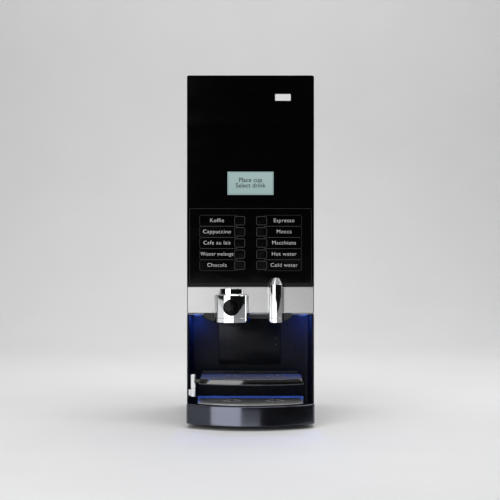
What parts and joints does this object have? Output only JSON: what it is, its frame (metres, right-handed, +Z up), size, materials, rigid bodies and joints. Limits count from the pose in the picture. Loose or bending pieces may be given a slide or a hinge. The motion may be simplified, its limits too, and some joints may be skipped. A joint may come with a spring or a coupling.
{
  "type": "hot drinks vending machine",
  "caption": "Tall black table-top hot drinks machine with a hinged front door, drink buttons, two chrome spouts, a lit cup niche, a swing-out cup stand and a removable drip tray.",
  "frame": {"origin": "centre of the outline on the table, at the level of the feet's soles", "axes": "+Z up, -Y towards the user, +X to the user's right"},
  "size_m": [0.335, 0.525, 0.924],
  "materials": {
    "gloss_black": "high gloss",
    "satin_black": "fine satin",
    "painted_black": "fine powder coat",
    "zinc_sheet": "zinc plated sheet",
    "brushed_steel": "fine horizontal brushing",
    "chrome": "mirror",
    "screen": "lit display window",
    "light_bar": "frosted diffuser",
    "canister_plastic": "frosted clear",
    "bowl_plastic": "moulded",
    "dark_plastic": "moulded",
    "rubber": "matte",
    "boiler_jacket": "foam jacket"
  },
  "bodies": {
    "cabinet": {"splash_panel": "gloss_black", "niche_liner": "satin_black", "side_panel_left": "painted_black", "side_panel_right": "painted_black", "top_cover": "painted_black", "back_panel": "painted_black", "base_pan": "zinc_sheet", "inner_frame": "zinc_sheet", "hinge_pin_top": "brushed_steel", "hinge_pin_bottom": "brushed_steel", "water_pipe": "brushed_steel", "inlet_valve": "brushed_steel", "stand_post": "chrome", "light_bar": "light_bar", "canister_1": "canister_plastic", "canister_2": "canister_plastic", "canister_3": "canister_plastic", "mixing_bowl_1": "bowl_plastic", "mixing_bowl_2": "bowl_plastic", "whipper_drive": "dark_plastic", "auger_drive": "dark_plastic", "control_box": "dark_plastic", "coffee_nozzle": "dark_plastic", "power_inlet": "dark_plastic", "foot_front_left": "rubber", "foot_front_right": "rubber", "foot_rear_left": "rubber", "foot_rear_right": "rubber", "boiler": "boiler_jacket"},
    "door": {"door_shell": "satin_black", "door_panel": "gloss_black", "keypad_panel": "gloss_black", "display": "screen", "steel_band": "brushed_steel", "coffee_spout_cover": "chrome", "water_spout_cover": "chrome"},
    "lock": {"door_lock": "brushed_steel"},
    "cup_stand": {"stand_tray": "gloss_black"},
    "stand_grid": {"stand_grid": "brushed_steel"},
    "drip_tray": {"drip_tray": "gloss_black"},
    "drip_grid": {"drip_grid": "brushed_steel"},
    "power_switch": {"power_switch": "dark_plastic"},
    "button_left_1": {"button_left_1": "gloss_black"},
    "button_right_1": {"button_right_1": "gloss_black"},
    "button_left_2": {"button_left_2": "gloss_black"},
    "button_right_2": {"button_right_2": "gloss_black"},
    "button_left_3": {"button_left_3": "gloss_black"},
    "button_right_3": {"button_right_3": "gloss_black"},
    "button_left_4": {"button_left_4": "gloss_black"},
    "button_right_4": {"button_right_4": "gloss_black"},
    "button_left_5": {"button_left_5": "gloss_black"},
    "button_right_5": {"button_right_5": "gloss_black"},
    "canister_lid_1": {"canister_lid_1": "dark_plastic"},
    "auger_1": {"auger_1": "bowl_plastic"},
    "canister_lid_2": {"canister_lid_2": "dark_plastic"},
    "auger_2": {"auger_2": "bowl_plastic"},
    "canister_lid_3": {"canister_lid_3": "dark_plastic"},
    "auger_3": {"auger_3": "bowl_plastic"},
    "whipper_1": {"whipper_1": "dark_plastic"},
    "whipper_2": {"whipper_2": "dark_plastic"}
  },
  "joints": [
    {"name": "door_hinge", "type": "hinge", "parent": "cabinet", "child": "door", "pos_m": [-0.161, -0.134, 0.6], "axis": [0, 0, -1], "range_deg": [0, 105]},
    {"name": "lock_turn", "type": "hinge", "parent": "door", "child": "lock", "pos_m": [0.1472, -0.1455, 0.6266], "axis": [-1, 0, 0], "range_deg": [0, 90]},
    {"name": "stand_swing", "type": "hinge", "parent": "cabinet", "child": "cup_stand", "pos_m": [-0.1508, -0.1675, 0.118], "axis": [0, 0, -1], "range_deg": [0, 90]},
    {"name": "stand_grid_lift", "type": "slide", "parent": "cup_stand", "child": "stand_grid", "axis": [0, 0, 1], "range_m": [0, 0.05]},
    {"name": "drip_tray_slide", "type": "slide", "parent": "cabinet", "child": "drip_tray", "axis": [0, -1, 0], "range_m": [0, 0.18]},
    {"name": "drip_grid_lift", "type": "slide", "parent": "drip_tray", "child": "drip_grid", "axis": [0, 0, 1], "range_m": [0, 0.03]},
    {"name": "switch_rock", "type": "hinge", "parent": "cabinet", "child": "power_switch", "pos_m": [0.046, 0.2355, 0.06], "axis": [1, 0, 0], "range_deg": [0, 14]},
    {"name": "button_left_1_press", "type": "slide", "parent": "door", "child": "button_left_1", "axis": [0, 1, 0], "range_m": [0, 0.0015], "stiffness_N_per_m": 600},
    {"name": "button_right_1_press", "type": "slide", "parent": "door", "child": "button_right_1", "axis": [0, 1, 0], "range_m": [0, 0.0015], "stiffness_N_per_m": 600},
    {"name": "button_left_2_press", "type": "slide", "parent": "door", "child": "button_left_2", "axis": [0, 1, 0], "range_m": [0, 0.0015], "stiffness_N_per_m": 600},
    {"name": "button_right_2_press", "type": "slide", "parent": "door", "child": "button_right_2", "axis": [0, 1, 0], "range_m": [0, 0.0015], "stiffness_N_per_m": 600},
    {"name": "button_left_3_press", "type": "slide", "parent": "door", "child": "button_left_3", "axis": [0, 1, 0], "range_m": [0, 0.0015], "stiffness_N_per_m": 600},
    {"name": "button_right_3_press", "type": "slide", "parent": "door", "child": "button_right_3", "axis": [0, 1, 0], "range_m": [0, 0.0015], "stiffness_N_per_m": 600},
    {"name": "button_left_4_press", "type": "slide", "parent": "door", "child": "button_left_4", "axis": [0, 1, 0], "range_m": [0, 0.0015], "stiffness_N_per_m": 600},
    {"name": "button_right_4_press", "type": "slide", "parent": "door", "child": "button_right_4", "axis": [0, 1, 0], "range_m": [0, 0.0015], "stiffness_N_per_m": 600},
    {"name": "button_left_5_press", "type": "slide", "parent": "door", "child": "button_left_5", "axis": [0, 1, 0], "range_m": [0, 0.0015], "stiffness_N_per_m": 600},
    {"name": "button_right_5_press", "type": "slide", "parent": "door", "child": "button_right_5", "axis": [0, 1, 0], "range_m": [0, 0.0015], "stiffness_N_per_m": 600},
    {"name": "lid_1_lift", "type": "slide", "parent": "cabinet", "child": "canister_lid_1", "axis": [0, 0, 1], "range_m": [0, 0.045]},
    {"name": "auger_1_turn", "type": "hinge", "parent": "cabinet", "child": "auger_1", "pos_m": [-0.098, 0.1, 0.6354], "axis": [0, 1, 0], "continuous": true},
    {"name": "lid_2_lift", "type": "slide", "parent": "cabinet", "child": "canister_lid_2", "axis": [0, 0, 1], "range_m": [0, 0.045]},
    {"name": "auger_2_turn", "type": "hinge", "parent": "cabinet", "child": "auger_2", "pos_m": [0, 0.1, 0.6354], "axis": [0, 1, 0], "continuous": true},
    {"name": "lid_3_lift", "type": "slide", "parent": "cabinet", "child": "canister_lid_3", "axis": [0, 0, 1], "range_m": [0, 0.045]},
    {"name": "auger_3_turn", "type": "hinge", "parent": "cabinet", "child": "auger_3", "pos_m": [0.098, 0.1, 0.6354], "axis": [0, 1, 0], "continuous": true},
    {"name": "whipper_1_turn", "type": "hinge", "parent": "cabinet", "child": "whipper_1", "pos_m": [-0.098, -0.085, 0.4061], "axis": [0, 1, 0], "continuous": true},
    {"name": "whipper_2_turn", "type": "hinge", "parent": "cabinet", "child": "whipper_2", "pos_m": [0.049, -0.085, 0.4061], "axis": [0, 1, 0], "continuous": true}
  ]
}
